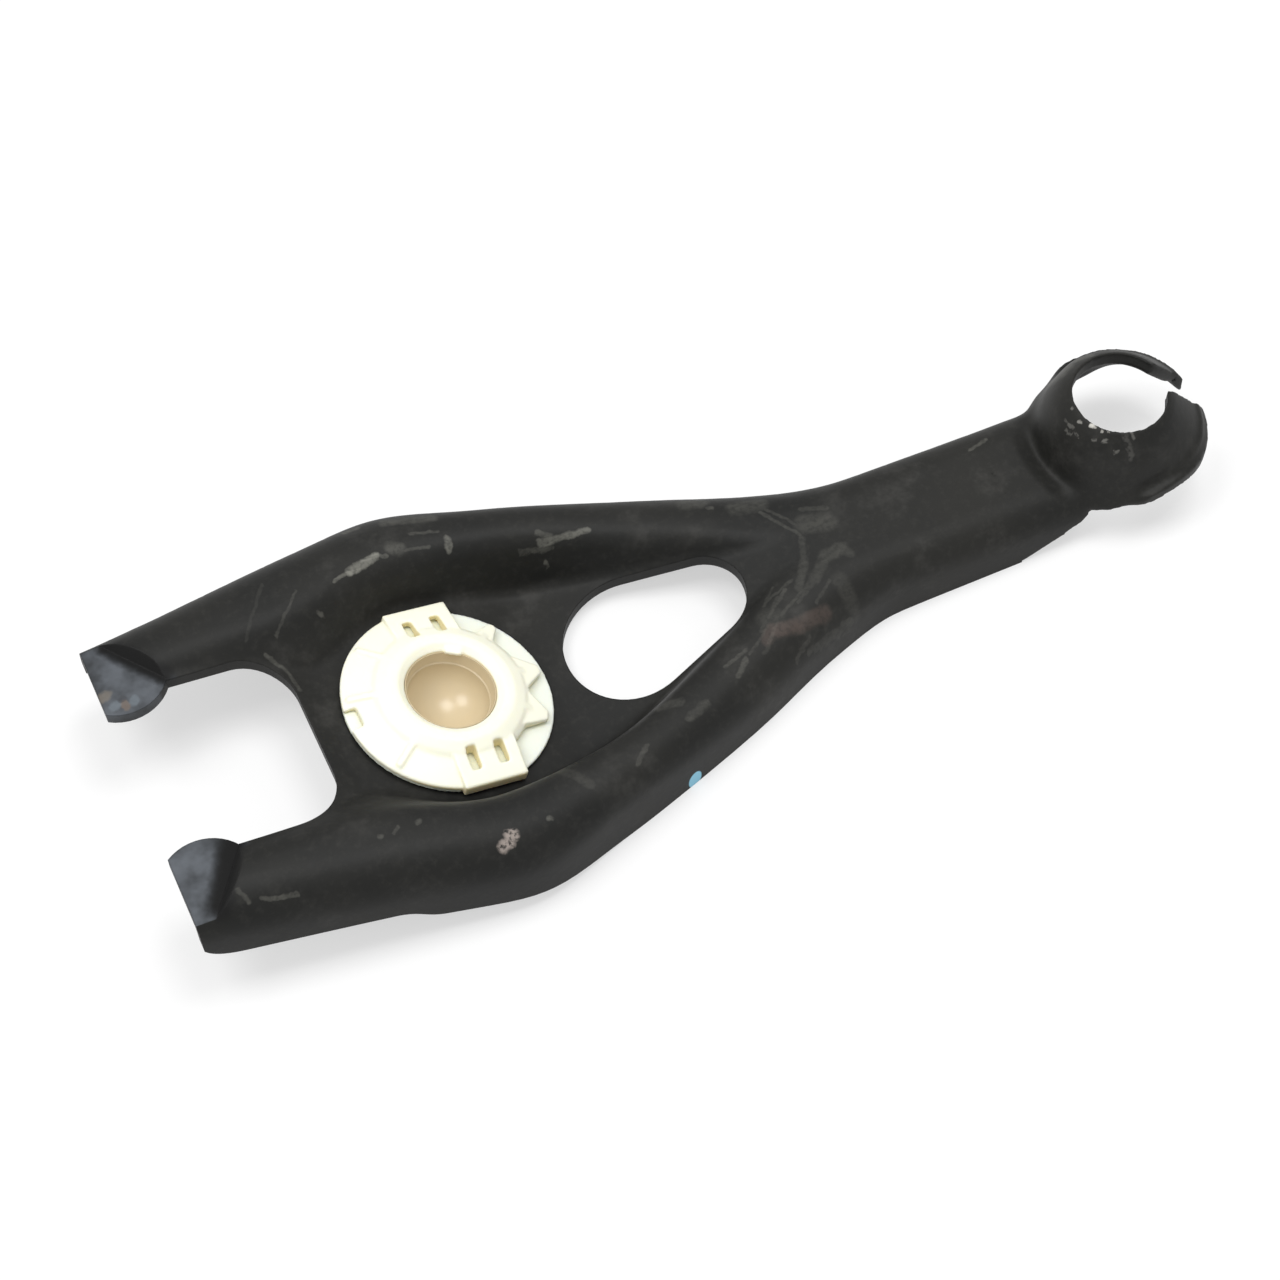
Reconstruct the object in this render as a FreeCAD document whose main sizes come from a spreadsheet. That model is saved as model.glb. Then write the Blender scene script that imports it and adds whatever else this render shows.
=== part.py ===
"""Clutch release fork: a pressed steel fork with a snapped-in plastic ball socket.

The fork is one blank of sheet steel, drawn over a die: two arched arms round a
recessed pan, a channel-section beam, and a half-ball seat with an open eye at the
far end. X runs from the arm tips to the eye, Y across the arms, Z up from the face
that the fork lies on. Every piece is built about the pivot and then placed.
"""
import FreeCAD, Part
import Sketcher
import math
import os
from FreeCAD import Placement, Rotation, Vector

doc = FreeCAD.newDocument("clutch_fork")

# ---------------------------------------------------------------- driving sizes
SIZES = [
    # sheet and press radii
    ("sheet_thickness", 3.0),
    ("ridge_outer_radius", 9.5),
    ("ridge_inner_radius", 7.0),
    ("pan_corner_radius", 3.0),
    ("skirt_draft_deg", 4.0),
    # places along the fork, from the pivot
    ("tip_x", -67.6),
    ("notch_floor_x", -29.2),
    ("pan_start_x", -26.0),
    ("shoulder_x", -18.0),
    ("pan_bend_x", 23.2),
    ("window_end_x", 60.0),
    ("neck_x", 84.0),
    ("beam_start_x", 101.0),
    ("beam_end_x", 147.0),
    ("eye_x", 161.0),
    # half widths over the skirts
    ("tip_half_width", 38.0),
    ("notch_half_width", 43.5),
    ("shoulder_half_width", 45.2),
    ("pivot_half_width", 47.5),
    ("bend_half_width", 41.2),
    ("window_half_width", 29.4),
    ("neck_half_width", 19.8),
    ("beam_half_width", 15.6),
    # height of the ridge over the face it lies on
    ("tip_height", 27.4),
    ("notch_height", 24.6),
    ("pivot_height", 20.7),
    ("bend_height", 17.8),
    ("window_height", 15.4),
    ("neck_height", 15.9),
    ("beam_end_height", 13.6),
    # the recessed pan
    ("tip_pan_height", 27.2),
    ("notch_pan_height", 18.2),
    ("pivot_pan_height", 9.0),
    ("socket_tilt_deg", 14.0),
    ("window_end_pan_height", 10.0),
    ("pan_half_width", 30.4),
    ("pan_start_half_width", 25.5),
    ("pan_bend_half_width", 27.8),
    ("pan_end_half_width", 14.0),
    ("pan_wall_deg", 74.0),
    ("pan_start_wall_deg", 40.0),
    # trim line of the skirts
    ("tip_trim_height", 13.4),
    ("tip_corner_radius", 8.0),
    ("notch_trim_height", 10.9),
    ("shoulder_trim_height", 6.7),
    ("foot_start_x", 32.0),
    ("foot_end_x", 141.0),
    # notch between the arms
    ("notch_half_gap", 20.9),
    ("notch_corner_radius", 11.0),
    ("pad_half_gap", 16.6),
    # bearing pads at the tips
    ("pad_height", 24.4),
    ("pad_start_x", -53.0),
    ("pad_crest_x", -61.5),
    ("pad_skew_deg", 37.0),
    ("pad_step_slope_deg", 45.0),
    # window
    ("window_big_radius", 14.7),
    ("window_big_x", 42.9),
    ("window_small_radius", 10.2),
    ("window_small_x", 59.4),
    # half-ball seat, eye and slot
    ("seat_outer_radius", 17.3),
    ("seat_centre_height", 14.0),
    ("brim_radius", 19.9),
    ("brim_tilt_deg", 13.5),
    ("brim_rise", 0.7),
    ("brim_blend_radius", 1.5),
    ("eye_radius", 10.4),
    ("slot_width", 7.4),
    # socket hole and the fit of everything snapped into it
    ("pivot_rise", 2.6),
    ("fit_clearance", 0.05),
    ("hole_clearance", 0.3),
    ("neck_radius", 12.9),
    ("neck_bore_radius", 10.6),
    ("neck_depth", 4.8),
    ("bead_radius", 13.9),
    ("bead_height", 0.5),
    ("neck_slot_width", 2.4),
    # base flange on the pan
    ("flange_radius", 23.0),
    ("flange_rim_height", 1.3),
    ("flange_relief", 0.4),
    ("flange_top_height", 2.0),
    ("flange_cone_radius", 17.5),
    # cage over it
    ("cage_bore_radius", 11.5),
    ("cage_shelf_height", 3.5),
    ("mouth_radius", 9.9),
    ("mouth_height", 5.0),
    ("collar_top_radius", 11.6),
    ("collar_crown_radius", 13.6),
    ("collar_shoulder_radius", 16.0),
    ("collar_shoulder_height", 5.1),
    ("collar_radius", 17.5),
    ("collar_edge_height", 3.7),
    ("collar_height", 6.2),
    ("skirt_radius", 23.2),
    ("skirt_edge_height", 2.4),
    ("skirt_top_radius", 15.0),
    ("skirt_top_height", 4.8),
    ("skirt_centre_deg", 180.0),
    ("skirt_sweep_deg", 152.0),
    ("fin_thickness", 1.4),
    ("fin_reach", 23.9),
    ("fin_nub_height", 3.2),
    ("rib_thickness", 1.3),
    ("rib_height", 3.3),
    ("clip_width", 14.5),
    ("clip_centre", 1.2),
    ("clip_root", 13.5),
    ("clip_reach", 23.2),
    ("clip_crest", 15.5),
    ("clip_height", 4.9),
    ("clip_edge_height", 3.2),
    ("clip_foot_depth", 2.6),
    ("clip_slot_width", 1.1),
    ("clip_slot_half_pitch", 3.2),
    ("clip_slot_start", 14.6),
    ("clip_slot_end", 19.6),
    ("rim_notch_width", 4.8),
    ("rim_notch_start", 20.4),
    ("tab_width", 3.6),
    ("tab_start", 9.1),
    ("tab_deg", 64.0),
    ("tab_height", 4.6),
    # ball cup
    ("ball_radius", 8.6),
    ("ball_centre_height", 3.4),
    ("cup_wall", 1.5),
    ("cup_flange_radius", 11.4),
    ("cup_lip_radius", 9.7),
    ("cup_lip_height", 4.4),
]

sheet = doc.addObject("Spreadsheet::Sheet", "Sizes")
for row, (alias, number) in enumerate(SIZES, start=1):
    sheet.set("A%d" % row, alias)
    sheet.set("B%d" % row, str(number))
    sheet.setAlias("B%d" % row, alias)
doc.recompute()


def size(alias):
    """One driving size, read from the sheet."""
    return float(getattr(sheet, alias))


thickness = size("sheet_thickness")
eye_centre = Vector(size("eye_x"), 0, size("seat_centre_height"))
brim_axis = Rotation(Vector(0, 1, 0), -size("brim_tilt_deg")).multVec(Vector(0, 0, 1))


def brim_top(x):
    """Height of the tilted brim's upper face at x, in the middle plane."""
    middle = eye_centre + brim_axis * size("brim_rise")
    return middle.z - (x - middle.x) * brim_axis.x / brim_axis.z


# ------------------------------------------------------------------ press forms
def smooth(stations, x):
    """Height or width at x on a smooth curve through the (place, value) stations."""
    places = [place for place, value in stations]
    values = [value for place, value in stations]
    if x <= places[0]:
        return values[0]
    if x >= places[-1]:
        return values[-1]
    count = len(stations)
    slopes = [(values[i + 1] - values[i]) / (places[i + 1] - places[i]) for i in range(count - 1)]
    tangents = [slopes[0]]
    for i in range(1, count - 1):
        if slopes[i - 1] * slopes[i] <= 0:
            tangents.append(0.0)
        else:
            tangents.append(2 * slopes[i - 1] * slopes[i] / (slopes[i - 1] + slopes[i]))
    tangents.append(slopes[-1])
    i = max(k for k in range(count - 1) if places[k] <= x)
    span = places[i + 1] - places[i]
    f = (x - places[i]) / span
    return (
        values[i] * (1 + 2 * f) * (1 - f) ** 2
        + tangents[i] * span * f * (1 - f) ** 2
        + values[i + 1] * f * f * (3 - 2 * f)
        + tangents[i + 1] * span * f * f * (f - 1)
    )


HALF_WIDTH = [
    (size("tip_x"), size("tip_half_width")),
    (size("notch_floor_x"), size("notch_half_width")),
    (size("shoulder_x"), size("shoulder_half_width")),
    (0.0, size("pivot_half_width")),
    (size("pan_bend_x"), size("bend_half_width")),
    (size("window_end_x"), size("window_half_width")),
    (size("neck_x"), size("neck_half_width")),
    (size("beam_start_x"), size("beam_half_width")),
    (size("eye_x"), size("beam_half_width")),
]
RIDGE_HEIGHT = [
    (size("tip_x"), size("tip_height")),
    (size("notch_floor_x"), size("notch_height")),
    (0.0, size("pivot_height")),
    (size("pan_bend_x"), size("bend_height")),
    (size("window_end_x"), size("window_height")),
    (size("neck_x"), size("neck_height")),
    (size("beam_end_x"), size("beam_end_height")),
    (size("eye_x"), brim_top(size("eye_x"))),
]
SOCKET_FALL = math.tan(math.radians(size("socket_tilt_deg")))
FLAT_MARGIN = 4.0


def on_socket_flat(x):
    """A station of the pan that lies in the flat under the ball socket."""
    return x, size("pivot_pan_height") - SOCKET_FALL * x


PAN_HEIGHT = [
    (size("tip_x"), size("tip_pan_height")),
    (size("notch_floor_x"), size("notch_pan_height")),
    on_socket_flat(size("pan_start_x")),
    on_socket_flat(size("pan_start_x") + FLAT_MARGIN),
    on_socket_flat(size("pan_bend_x") - FLAT_MARGIN),
    on_socket_flat(size("pan_bend_x")),
    (size("window_end_x"), size("window_end_pan_height")),
    (size("neck_x"), size("neck_height")),
    (size("beam_end_x"), size("beam_end_height")),
    (size("eye_x"), brim_top(size("eye_x"))),
]
WALL_TOP = [
    (size("tip_x"), size("pan_start_half_width")),
    (size("notch_floor_x"), size("pan_start_half_width")),
    (0.0, size("pan_half_width")),
    (size("pan_bend_x"), size("pan_bend_half_width")),
    (size("window_end_x"), size("pan_end_half_width")),
    (size("neck_x"), size("beam_half_width") / 3),
    (size("eye_x"), size("beam_half_width") / 3),
]
WALL_SLOPE = [
    (size("tip_x"), size("pan_start_wall_deg")),
    (size("notch_floor_x"), size("pan_start_wall_deg")),
    (0.0, size("pan_wall_deg")),
    (size("window_end_x"), size("pan_wall_deg")),
    (size("neck_x"), size("pan_start_wall_deg")),
    (size("eye_x"), size("pan_start_wall_deg")),
]

SKIRT_BOTTOM = -4.0
SOFTEST_REACH = 1.2
SOFTEST_RUN = 3.0


def rounded_path(corners, radii, steps):
    """Points along a path of straights joined by arcs, always the same number of them."""
    tangents = []
    for k in range(1, len(corners) - 1):
        before = (corners[k - 1] - corners[k]).normalize()
        after = (corners[k + 1] - corners[k]).normalize()
        turn = math.pi - before.getAngle(after)
        tangents.append(math.hypot(radii[k - 1] * math.tan(turn / 2), SOFTEST_REACH))
    factors = [1.0] * len(tangents)
    for k in range(len(corners) - 1):
        room = (corners[k + 1] - corners[k]).Length * 0.85
        used = sum(tangents[m] for m in (k - 1, k) if 0 <= m < len(tangents))
        for m in (k - 1, k):
            if 0 <= m < len(tangents) and used > room:
                factors[m] = min(factors[m], room / used)
    points = []
    start = corners[0]
    for k in range(1, len(corners) - 1):
        reach = tangents[k - 1] * factors[k - 1]
        before = (corners[k - 1] - corners[k]).normalize()
        after = (corners[k + 1] - corners[k]).normalize()
        enter = corners[k] + before * reach
        leave = corners[k] + after * reach
        straight, arc = steps[k - 1]
        points += [start + (enter - start) * (n / straight) for n in range(straight)]
        turn = math.pi - before.getAngle(after)
        weight = math.cos(turn / 2)
        for n in range(arc):
            f = n / arc
            scale = (1 - f) ** 2 + 2 * weight * f * (1 - f) + f * f
            mixed = enter * (1 - f) ** 2 + corners[k] * (2 * weight * f * (1 - f)) + leave * f * f
            points.append(mixed * (1 / scale))
        start = leave
    last = steps[-1][0]
    points += [start + (corners[-1] - start) * (n / last) for n in range(last + 1)]
    return points


def half_section(x):
    """Outer skin of the blank at x, from the middle plane down to the skirt's edge."""
    width = smooth(HALF_WIDTH, x)
    ridge = smooth(RIDGE_HEIGHT, x)
    pan = min(smooth(PAN_HEIGHT, x), ridge - 0.01)
    wall_top = smooth(WALL_TOP, x)
    slope = math.radians(smooth(WALL_SLOPE, x))
    draft = math.tan(math.radians(size("skirt_draft_deg")))
    wall_run = math.hypot((ridge - pan) / math.tan(slope), SOFTEST_RUN)
    wall_foot = max(wall_top - wall_run, SOFTEST_RUN)
    corners = [
        Vector(x, 0, pan),
        Vector(x, wall_foot, pan),
        Vector(x, wall_top, ridge),
        Vector(x, width - draft * ridge, ridge),
        Vector(x, width - draft * SKIRT_BOTTOM, SKIRT_BOTTOM),
    ]
    radii = [size("pan_corner_radius"), size("ridge_inner_radius"), size("ridge_outer_radius")]
    return rounded_path(corners, radii, [(2, 3), (2, 4), (2, 5), (3, 0)])


def full_section(x):
    half = half_section(x)
    return [Vector(p.x, -p.y, p.z) for p in reversed(half[1:])] + half


def offset_grid(grid, depth):
    """The inner skin: every point moved by depth along the outer skin's normal."""
    rows, columns = len(grid), len(grid[0])
    inner = []
    for i in range(rows):
        row = []
        for j in range(columns):
            along = grid[min(i + 1, rows - 1)][j] - grid[max(i - 1, 0)][j]
            across = grid[i][min(j + 1, columns - 1)] - grid[i][max(j - 1, 0)]
            normal = along.cross(across).normalize()
            row.append(grid[i][j] - normal * depth)
        inner.append(row)
    return inner


def skin(grid):
    """A smooth cubic surface that the grid of points pulls into shape."""
    knots = []
    for count in (len(grid), len(grid[0])):
        spans = count - 3
        knots.append((list(range(spans + 1)), [4] + [1] * (spans - 1) + [4]))
    (u_knots, u_mults), (v_knots, v_mults) = knots
    surface = Part.BSplineSurface()
    surface.buildFromPolesMultsKnots(grid, u_mults, v_mults, u_knots, v_knots, False, False, 3, 3)
    return surface


def pressed_blank(first, last, pitch):
    """The drawn sheet as one solid: outer skin, inner skin and the four cut edges."""
    count = int(math.ceil((last - first) / pitch))
    grid = [full_section(first + (last - first) * i / count) for i in range(count + 1)]
    outer = skin(grid)
    inner = skin(offset_grid(grid, thickness))
    faces = [outer.toShape(), inner.toShape()]
    u0, u1, v0, v1 = outer.bounds()
    p0, p1, q0, q1 = inner.bounds()
    for one, other in ((u0, p0), (u1, p1)):
        faces.append(Part.makeRuledSurface(outer.uIso(one).toShape(), inner.uIso(other).toShape()))
    for one, other in ((v0, q0), (v1, q1)):
        faces.append(Part.makeRuledSurface(outer.vIso(one).toShape(), inner.vIso(other).toShape()))
    shell = Part.makeShell(faces)
    shell.sewShape()
    solid = Part.makeSolid(shell)
    if solid.Volume < 0:
        solid.reverse()
    return solid, outer.toShape()


def bezier(*points):
    curve = Part.BezierCurve()
    curve.setPoles(list(points))
    return curve.toShape()


def line(start, end):
    return Part.makeLine(start, end)


def prism(edges, direction):
    return Part.Face(Part.Wire(edges)).extrude(direction)


def below_trim_line():
    """Everything under the skirts' cut edge: tips, step, the long foot and the eye's brim."""
    reach = 70.0
    corner = size("tip_corner_radius")
    brim_slope = Vector(1, 0, -brim_axis.x / brim_axis.z)
    under = thickness / brim_axis.z
    front = size("tip_x") - 4
    tip = Vector(size("tip_x") + corner, 0, size("tip_trim_height"))
    tip_up = Vector(size("tip_x") - 1, 0, size("tip_trim_height") + corner)
    notch = Vector(size("notch_floor_x"), 0, size("notch_trim_height"))
    shoulder = Vector(size("shoulder_x"), 0, size("shoulder_trim_height"))
    foot = Vector(size("foot_start_x"), 0, 0)
    foot_end = Vector(size("foot_end_x"), 0, 0)
    brim_x = size("eye_x") - size("brim_radius") * 0.55
    far_x = size("eye_x") + size("brim_radius") + 4
    brim = Vector(brim_x, 0, brim_top(brim_x) - under - 0.05)
    far = Vector(far_x, 0, brim_top(far_x) - under - 0.05)
    slope = (notch - tip) * (1 / (notch.x - tip.x))
    fall = (foot - shoulder) * (1 / (foot.x - shoulder.x))
    ease = (shoulder.x - notch.x) * 0.5
    rise = (brim.x - foot_end.x) * 0.5
    level = Vector(1, 0, 0)
    edges = [
        line(Vector(front, 0, -20), Vector(front, 0, tip_up.z)),
        line(Vector(front, 0, tip_up.z), tip_up),
        bezier(tip_up, Vector(tip_up.x, 0, tip.z + slope.z * (tip_up.x - tip.x)), tip),
        line(tip, notch),
        bezier(notch, notch + slope * ease, shoulder - fall * ease, shoulder),
        bezier(shoulder, shoulder + fall * 20, foot - level * 15, foot),
        line(foot, foot_end),
        bezier(foot_end, foot_end + level * rise, brim - brim_slope * rise, brim),
        line(brim, far),
        line(far, Vector(far.x, 0, -20)),
        line(Vector(far.x, 0, -20), Vector(front, 0, -20)),
    ]
    tool = prism(edges, Vector(0, 2 * reach, 0))
    tool.translate(Vector(0, -reach, 0))
    return tool


def notch_tool():
    """The U between the arms, with a straight floor across the fork."""
    gap = size("notch_half_gap")
    radius = size("notch_corner_radius")
    floor = size("notch_floor_x")
    mouth = size("tip_x") - 6
    turn = radius * (1 - math.sqrt(0.5))
    edges = [
        line(Vector(mouth, -gap, -20), Vector(floor - radius, -gap, -20)),
        Part.Arc(
            Vector(floor - radius, -gap, -20),
            Vector(floor - turn, -gap + turn, -20),
            Vector(floor, -gap + radius, -20),
        ).toShape(),
        line(Vector(floor, -gap + radius, -20), Vector(floor, gap - radius, -20)),
        Part.Arc(
            Vector(floor, gap - radius, -20),
            Vector(floor - turn, gap - turn, -20),
            Vector(floor - radius, gap, -20),
        ).toShape(),
        line(Vector(floor - radius, gap, -20), Vector(mouth, gap, -20)),
        line(Vector(mouth, gap, -20), Vector(mouth, -gap, -20)),
    ]
    return prism(edges, Vector(0, 0, 80))


def half_ball_seat():
    """The hollow half ball with its brim, turned about the tilted axis of the brim."""
    radius = size("seat_outer_radius")
    centre = Vector(0, 0, 0)
    blend = size("brim_blend_radius")
    brim_z = size("brim_rise")
    inner_r = size("eye_radius") * 0.4
    blend_z = brim_z + blend
    blend_r = math.sqrt((radius + blend) ** 2 - (blend_z - centre.z) ** 2)
    blend_centre = Vector(blend_r, 0, blend_z)
    toward = (blend_centre - centre).normalize()
    down = Vector(0, 0, -1)

    def ball_arc(ball_radius):
        top = Vector(inner_r, 0, centre.z + math.sqrt(ball_radius**2 - inner_r**2))
        end = centre + toward * ball_radius
        middle = ((top - centre) + (end - centre)).normalize()
        return top, centre + middle * ball_radius, end

    def blend_arc(arc_radius):
        start = blend_centre - toward * arc_radius
        end = blend_centre + down * arc_radius
        middle = (down - toward).normalize()
        return start, blend_centre + middle * arc_radius, end

    outer_ball = ball_arc(radius)
    outer_blend = blend_arc(blend)
    inner_ball = ball_arc(radius - thickness)
    inner_blend = blend_arc(blend + thickness)
    edge_top = Vector(size("brim_radius"), 0, brim_z)
    edge_bottom = Vector(size("brim_radius"), 0, brim_z - thickness)
    edges = [
        Part.Arc(*outer_ball).toShape(),
        Part.Arc(*outer_blend).toShape(),
        line(outer_blend[2], edge_top),
        line(edge_top, edge_bottom),
        line(edge_bottom, inner_blend[2]),
        Part.Arc(*inner_blend).toShape(),
        Part.Arc(*inner_ball).toShape(),
        line(inner_ball[0], outer_ball[0]),
    ]
    seat = Part.Face(Part.Wire(Part.__sortEdges__(edges))).revolve(Vector(), Vector(0, 0, 1), 360)
    seat.Placement = Placement(eye_centre, Rotation(Vector(0, 0, 1), brim_axis))
    return seat, blend_r


def pad_lug(side, outer_face):
    """Solid metal under the outer skin where a tip is coined, with its rounded lobe."""
    start, tip = size("pad_start_x"), size("tip_x")
    gap, crest = side * size("notch_half_gap"), side * size("pad_half_gap")
    skew = math.tan(math.radians(size("pad_skew_deg")))
    outside = side * (size("notch_half_gap") + (start + thickness - tip) / skew)
    base = size("pad_height") - thickness
    inside = gap + side * 0.6
    corner_in = Vector(start + thickness, inside, base)
    corner_out = Vector(tip - 3, outside, base)
    end_out = Vector(tip - 3, crest + side * thickness * 1.6, base)
    lobe_end = Vector(start, inside, base)
    edges = [
        line(corner_in, corner_out),
        line(corner_out, end_out),
        Part.Arc(end_out, Vector(size("pad_crest_x"), crest, base), lobe_end).toShape(),
        line(lobe_end, corner_in),
    ]
    under_skin = outer_face.extrude(Vector(0, 0, -3 * thickness))
    under_skin.translate(Vector(0, 0, -0.05))
    return prism(edges, Vector(0, 0, 20)).common(under_skin)


def coining_die(side):
    """The block that presses one tip flat; its back wall slopes along the skewed step."""
    slope = math.tan(math.radians(size("pad_step_slope_deg")))
    skew = math.radians(size("pad_skew_deg"))
    rise = 10.0
    top = size("pad_height")
    start = Vector(size("pad_start_x"), side * size("notch_half_gap"), 0)
    along = Vector(-math.sin(skew), side * math.cos(skew), 0)
    toward_tip = Vector(-math.cos(skew), -side * math.sin(skew), 0)
    corner = start - along * 15 + Vector(0, 0, top)
    back = corner - toward_tip * (rise / slope) + Vector(0, 0, rise)
    front = corner + toward_tip * 40
    front_top = front + Vector(0, 0, rise)
    edges = [line(corner, back), line(back, front_top), line(front_top, front), line(front, corner)]
    return prism(edges, along * 50)


def press_fork():
    """The pressed fork before its window, eye and socket hole are pierced."""
    eye_edge = size("eye_x") - size("seat_outer_radius") / 2
    blank, outer_face = pressed_blank(size("tip_x") - 2, eye_edge, 5.0)
    seat, seat_foot = half_ball_seat()
    core = Part.makeCylinder(seat_foot, 80, Vector(0, 0, -40))
    core.Placement = seat.Placement
    body = blank.cut(core).fuse(seat)
    body = body.cut(notch_tool())
    for side in (-1, 1):
        body = body.fuse(pad_lug(side, outer_face))
        body = body.cut(coining_die(side))
    sheared = Part.makeBox(20, 140, 80, Vector(size("tip_x") - 20, -70, -20))
    return body.cut(sheared).cut(below_trim_line())


# ---------------------------------------------------------------- document pieces
def number(formula):
    """The value of a sum of sizes, such as 'collar_radius - cup_wall'."""
    total, sign = 0.0, 1
    for word in formula.split():
        if word in ("+", "-"):
            sign = 1 if word == "+" else -1
        elif word[0].isdigit():
            total += sign * float(word)
        else:
            total += sign * size(word)
    return total


def bound(formula):
    """The same sum written for the document's own expressions."""
    words = formula.split()
    return " ".join(w if w in ("+", "-") or w[0].isdigit() else "Sizes." + w for w in words)


def bind(thing, **formulas):
    for name, formula in formulas.items():
        thing.setExpression(name, bound(formula))


def outline(sketch, corners):
    """A closed outline whose every corner is bound to the sizes."""
    first = sketch.GeometryCount
    points = [Vector(number(x), number(y), 0) for x, y in corners]
    count = len(points)
    for k in range(count):
        sketch.addGeometry(Part.LineSegment(points[k], points[(k + 1) % count]), False)
    for k in range(count):
        after = first + (k + 1) % count
        sketch.addConstraint(Sketcher.Constraint("Coincident", first + k, 2, after, 1))
    for k, formulas in enumerate(corners):
        for kind, axis, formula in (("DistanceX", -2, formulas[0]), ("DistanceY", -1, formulas[1])):
            if formula == "0":
                sketch.addConstraint(Sketcher.Constraint("PointOnObject", first + k, 1, axis))
                continue
            datum = Sketcher.Constraint(kind, -1, 1, first + k, 1, number(formula))
            index = sketch.addConstraint(datum)
            sketch.setExpression("Constraints[%d]" % index, bound(formula))


def new_body(label):
    body = doc.addObject("PartDesign::Body", label)
    body.Label = label
    return body


def plane_of(body, role):
    return next(f for f in body.Origin.OriginFeatures if f.Role == role)


def new_sketch(body, name, role, turned=0.0):
    """A sketch on one of the body's own planes, turned about the socket's axis."""
    sketch = body.newObject("Sketcher::SketchObject", name)
    sketch.AttachmentSupport = [(plane_of(body, role), "")]
    sketch.MapMode = "FlatFace"
    axis = Vector(0, 1, 0) if role == "XZ_Plane" else Vector(0, 0, 1)
    sketch.AttachmentOffset = Placement(Vector(), Rotation(axis, turned))
    return sketch


def revolve(body, name, sketch, sweep=360.0):
    feature = body.newObject("PartDesign::Revolution", name)
    feature.Profile = sketch
    feature.ReferenceAxis = (sketch, ["V_Axis"])
    feature.Angle = sweep
    feature.Midplane = sweep < 360
    doc.recompute()
    return feature


def web(body, name, corners, width, turned):
    """A flat web standing on its edge, centred on a radial plane at the given angle."""
    sketch = new_sketch(body, name + "Sketch", "XZ_Plane", turned)
    outline(sketch, corners)
    feature = body.newObject("PartDesign::Pad", name)
    feature.Profile = sketch
    feature.Midplane = True
    bind(feature, Length=width)
    doc.recompute()
    return feature


def pocket_up(body, name, outlines, depth="80"):
    """A cut straight up through the piece from the plane the sketch lies on."""
    sketch = new_sketch(body, name + "Sketch", "XY_Plane")
    for corners in outlines:
        outline(sketch, corners)
    feature = body.newObject("PartDesign::Pocket", name)
    feature.Profile = sketch
    feature.Type = 0
    feature.Midplane = True
    before = body.Shape.Volume
    bind(feature, Length=depth)
    doc.recompute()
    if body.Shape.Volume > before - 0.1:
        raise RuntimeError(name + " cut nothing")
    return feature


def box_outline(x0, x1, y0, y1):
    return [(x0, y0), (x1, y0), (x1, y1), (x0, y1)]


# the pressed fork, then its pierced openings
pressed = doc.addObject("Part::Feature", "PressedFork")
pressed.Shape = press_fork()

window_sketch = doc.addObject("Sketcher::SketchObject", "WindowSketch")
window_sketch.Placement = Placement(Vector(0, 0, -10), Rotation())
big, small = size("window_big_radius"), size("window_small_radius")
big_x, small_x = size("window_big_x"), size("window_small_x")
lean = math.acos((big - small) / (small_x - big_x))
turn = Vector(math.cos(lean), math.sin(lean), 0)
mirror_turn = Vector(turn.x, -turn.y, 0)
big_centre, small_centre = Vector(big_x, 0, 0), Vector(small_x, 0, 0)
upright = Vector(0, 0, 1)
window_sketch.addGeometry(
    [
        Part.ArcOfCircle(Part.Circle(big_centre, upright, big), lean, 2 * math.pi - lean),
        Part.LineSegment(big_centre + mirror_turn * big, small_centre + mirror_turn * small),
        Part.ArcOfCircle(Part.Circle(small_centre, upright, small), -lean, lean),
        Part.LineSegment(small_centre + turn * small, big_centre + turn * big),
    ],
    False,
)
window_sketch.addConstraint(
    [
        Sketcher.Constraint("Tangent", 0, 2, 1, 1),
        Sketcher.Constraint("Tangent", 1, 2, 2, 1),
        Sketcher.Constraint("Tangent", 2, 2, 3, 1),
        Sketcher.Constraint("Tangent", 3, 2, 0, 1),
        Sketcher.Constraint("PointOnObject", 0, 3, -1),
        Sketcher.Constraint("PointOnObject", 2, 3, -1),
        Sketcher.Constraint("Radius", 0, big),
        Sketcher.Constraint("Radius", 2, small),
        Sketcher.Constraint("DistanceX", -1, 1, 0, 3, big_x),
        Sketcher.Constraint("DistanceX", -1, 1, 2, 3, small_x),
    ]
)
bind(window_sketch, **{"Constraints[6]": "window_big_radius", "Constraints[7]": "window_small_radius"})
bind(window_sketch, **{"Constraints[8]": "window_big_x", "Constraints[9]": "window_small_x"})
window = doc.addObject("Part::Extrusion", "WindowPunch")
window.Base = window_sketch
window.Dir = Vector(0, 0, 60)
window.Solid = True

eye = doc.addObject("Part::Cylinder", "EyePunch")
eye.Height = 80
eye.Placement = Placement(Vector(size("eye_x"), 0, -20), Rotation())
bind(eye, Radius="eye_radius")

slot = doc.addObject("Part::Box", "SlotPunch")
slot.Length = 40
slot.Height = 80
slot.Placement = Placement(Vector(size("eye_x"), -size("slot_width") / 2, -20), Rotation())
bind(slot, Width="slot_width")

tilt = Rotation(Vector(0, 1, 0), size("socket_tilt_deg"))
socket_frame = Placement(Vector(0, 0, size("pivot_pan_height")), tilt)
socket_hole = doc.addObject("Part::Cylinder", "SocketPunch")
socket_hole.Height = 30
socket_hole.Placement = socket_frame.multiply(Placement(Vector(0, 0, -15), Rotation()))
bind(socket_hole, Radius="neck_radius + hole_clearance")

punches = doc.addObject("Part::MultiFuse", "Punches")
punches.Shapes = [window, eye, slot, socket_hole]

fork = doc.addObject("Part::Cut", "Fork")
fork.Label = "fork"
fork.Base = pressed
fork.Tool = punches
doc.recompute()

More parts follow.
